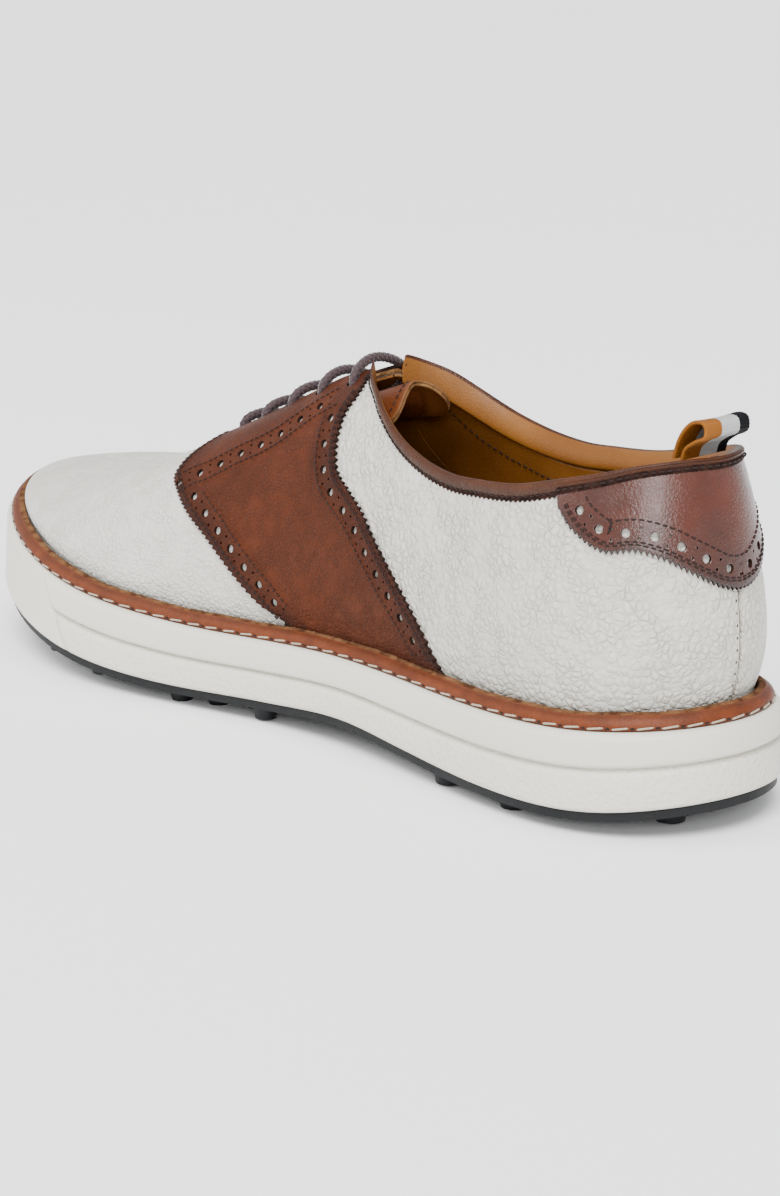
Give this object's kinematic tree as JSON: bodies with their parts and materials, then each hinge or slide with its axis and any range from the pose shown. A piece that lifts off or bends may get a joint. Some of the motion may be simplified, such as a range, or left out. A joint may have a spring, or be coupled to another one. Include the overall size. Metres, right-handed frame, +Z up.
{
  "type": "golf shoe",
  "caption": "Right saddle-style spikeless golf shoe with leather upper, cup sole, lace, tongue, heel pull loop and removable footbed.",
  "frame": {"origin": "centre of the footprint's box, on the ground", "axes": "+X towards the toe, +Y towards the medial (inner) side, +Z up"},
  "size_m": [0.304, 0.107, 0.1091],
  "materials": {
    "black_rubber": "matt moulded",
    "cream_rubber": "satin moulded",
    "foam": "soft cellular foam",
    "steel": "brushed",
    "board": "pressed fibre board",
    "tan_leather": "smooth satin",
    "welt_leather": "satin with a raw edge",
    "white_leather": "tumbled grain, satin",
    "brown_leather": "burnished fine grain",
    "patch_leather": "polished smooth",
    "binding_leather": "rolled satin",
    "lace_cord": "round woven cord",
    "aglet_plastic": "clear-coated tip",
    "ribbon": "striped grosgrain ribbon"
  },
  "bodies": {
    "shoe": {"outsole": "black_rubber", "cup_sole": "cream_rubber", "cushion_insert": "foam", "shank": "steel", "insole_board": "board", "welt": "welt_leather", "vamp": "white_leather", "quarter_medial": "white_leather", "quarter_lateral": "white_leather", "saddle_medial": "brown_leather", "saddle_lateral": "brown_leather", "heel_patch": "patch_leather", "collar_binding": "binding_leather", "vamp_lining": "tan_leather", "quarter_lining_medial": "tan_leather", "quarter_lining_lateral": "tan_leather", "heel_counter": "board", "toe_puff": "board", "collar_foam_medial": "foam", "collar_foam_lateral": "foam", "facing_stay_medial": "board", "facing_stay_lateral": "board", "lace": "lace_cord", "aglets": "aglet_plastic", "pull_tab_anchor": "ribbon"},
    "tongue_flap": {"tongue": "brown_leather", "tongue_foam": "foam", "tongue_lining": "tan_leather"},
    "pull_loop": {"pull_tab": "ribbon"},
    "footbed": {"footbed_foam": "foam", "footbed_cover": "tan_leather"}
  },
  "joints": [
    {"name": "tongue_swing", "type": "hinge", "parent": "shoe", "child": "tongue_flap", "pos_m": [0.05, 0, 0.063], "axis": [0, -1, 0], "range_deg": [0, 8]},
    {"name": "pull_loop_swing", "type": "hinge", "parent": "shoe", "child": "pull_loop", "pos_m": [-0.1289, 0, 0.095], "axis": [0, 1, 0], "range_deg": [-10, 45]},
    {"name": "footbed_lift", "type": "hinge", "parent": "shoe", "child": "footbed", "pos_m": [0.137, 0, 0.0445], "axis": [0, 1, 0], "range_deg": [0, 3]}
  ]
}
